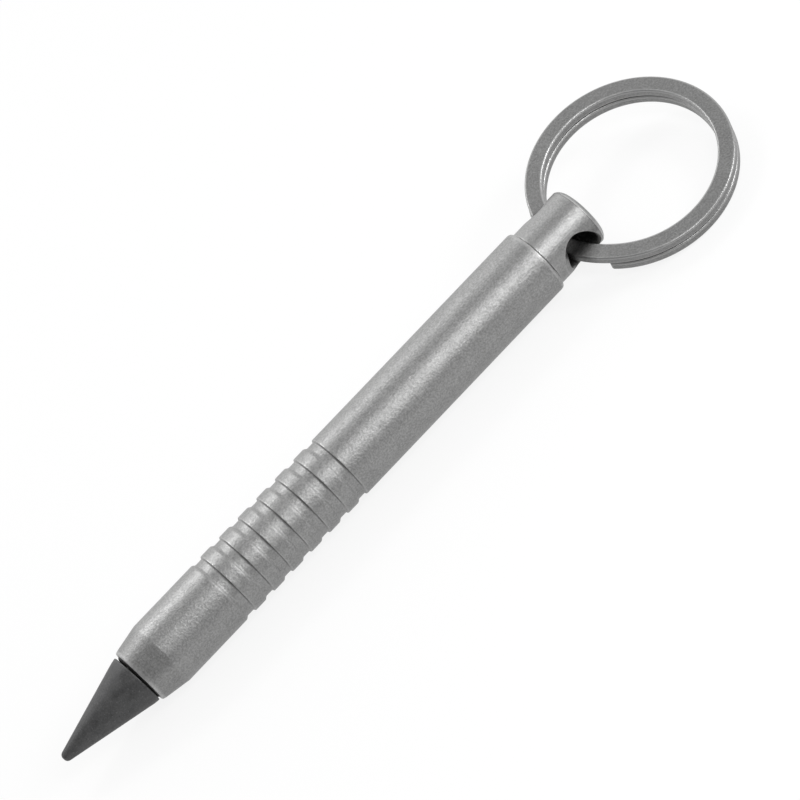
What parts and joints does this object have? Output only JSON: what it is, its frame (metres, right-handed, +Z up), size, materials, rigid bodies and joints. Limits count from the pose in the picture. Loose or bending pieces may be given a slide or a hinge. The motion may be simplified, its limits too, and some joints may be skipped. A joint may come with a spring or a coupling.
{
  "type": "pencil",
  "caption": "Short round pencil with a coned nose, grip grooves, a screw-in dark nib and a cross-drilled tail that carries a split ring.",
  "frame": {"origin": "on the surface that the pencil lies on, under the middle of the whole object's box", "axes": "+X along the barrel from the nib to the tail, +Z up from the surface, +Y to the left when looking towards the tail"},
  "size_m": [0.1216, 0.0288, 0.01],
  "materials": {
    "barrel_titanium": "bead-blasted titanium, fine grain, satin",
    "tail_titanium": "satin titanium, a little smoother than the barrel",
    "ring_titanium": "flat titanium wire, satin faces and bright broken edges",
    "nib_alloy": "dark graphite alloy, matt with a slight sheen",
    "stud_steel": "plain turned steel",
    "seal_rubber": "black rubber, matt"
  },
  "bodies": {
    "barrel": {"barrel": "barrel_titanium"},
    "tail_seal": {"tail_o_ring": "seal_rubber"},
    "tail": {"tail_lug": "tail_titanium"},
    "ring": {"split_ring": "ring_titanium"},
    "nib_seal": {"nib_o_ring": "seal_rubber"},
    "nib": {"nib_cone": "nib_alloy", "nib_stud": "stud_steel"}
  },
  "joints": [
    {"name": "tail_travel", "type": "slide", "parent": "barrel", "child": "tail_seal", "axis": [1, 0, 0], "range_m": [0, 0.00675]},
    {"name": "tail_turn", "type": "hinge", "parent": "tail_seal", "child": "tail", "pos_m": [0.03358, 0.00075, 0.005], "axis": [1, 0, 0], "range_deg": [0, 3240]},
    {"name": "ring_swing", "type": "hinge", "parent": "tail", "child": "ring", "pos_m": [0.03358, 0.00075, 0.005], "axis": [0, 0.9494, 0.314], "range_deg": [-164, 160]},
    {"name": "nib_travel", "type": "slide", "parent": "barrel", "child": "nib_seal", "axis": [-1, 0, 0], "range_m": [0, 0.0063]},
    {"name": "nib_turn", "type": "hinge", "parent": "nib_seal", "child": "nib", "pos_m": [-0.05, 0.00075, 0.005], "axis": [-1, 0, 0], "range_deg": [0, 3240]}
  ],
  "couplings": [
    {"joint": "tail_turn", "follows": "tail_travel", "rad_per_m": 8377.6},
    {"joint": "nib_turn", "follows": "nib_travel", "rad_per_m": 8976}
  ]
}
